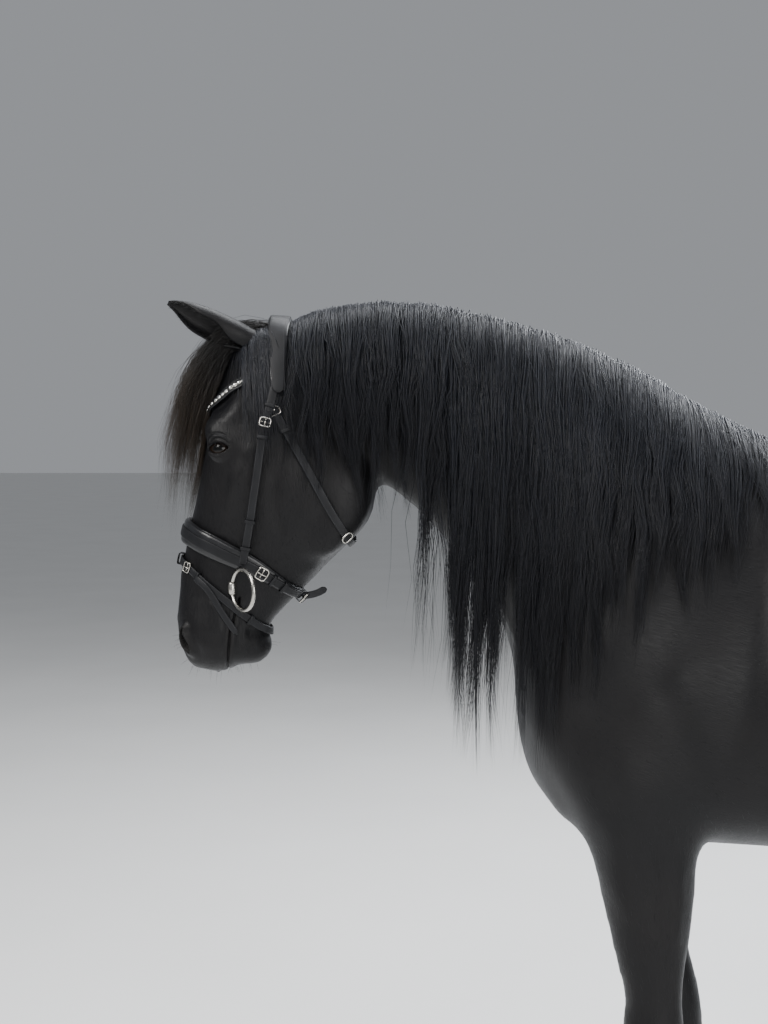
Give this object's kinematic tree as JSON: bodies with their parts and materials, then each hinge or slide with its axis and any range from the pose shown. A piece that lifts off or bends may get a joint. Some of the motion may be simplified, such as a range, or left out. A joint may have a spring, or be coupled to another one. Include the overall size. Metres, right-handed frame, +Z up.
{
  "type": "horse",
  "caption": "Black baroque horse standing square with arched neck, long mane, full tail and feathered legs, wearing a dressage bridle without reins.",
  "frame": {"origin": "middle of the bounding box, on the ground", "axes": "+X from the nose towards the tail, +Y towards the horse's right side, +Z up"},
  "size_m": [2.3044, 0.592, 1.8256],
  "materials": {
    "coat": "short glossy black hair, long silky hair in mane, tail and feather",
    "horn": "dark hoof horn, satin",
    "eye": "wet, very dark brown",
    "leather": "smooth black bridle leather",
    "steel": "polished stainless steel"
  },
  "bodies": {
    "root": {"torso": "coat", "neck": "coat", "head": "coat", "tail": "coat", "leg_fore_left": "coat", "leg_fore_right": "coat", "leg_hind_left": "coat", "leg_hind_right": "coat", "hoof_fore_left": "horn", "hoof_fore_right": "horn", "hoof_hind_left": "horn", "hoof_hind_right": "horn", "ear_left": "coat", "ear_right": "coat", "eye_left": "eye", "eye_right": "eye", "bridle_crown": "leather", "bridle_throatlatch": "leather", "bridle_browband": "leather", "bridle_noseband": "leather", "bridle_flash": "leather", "bridle_cheek_left": "leather", "bridle_cheek_right": "leather", "bit_ring_left": "steel", "bit_ring_right": "steel"}
  },
  "joints": []
}
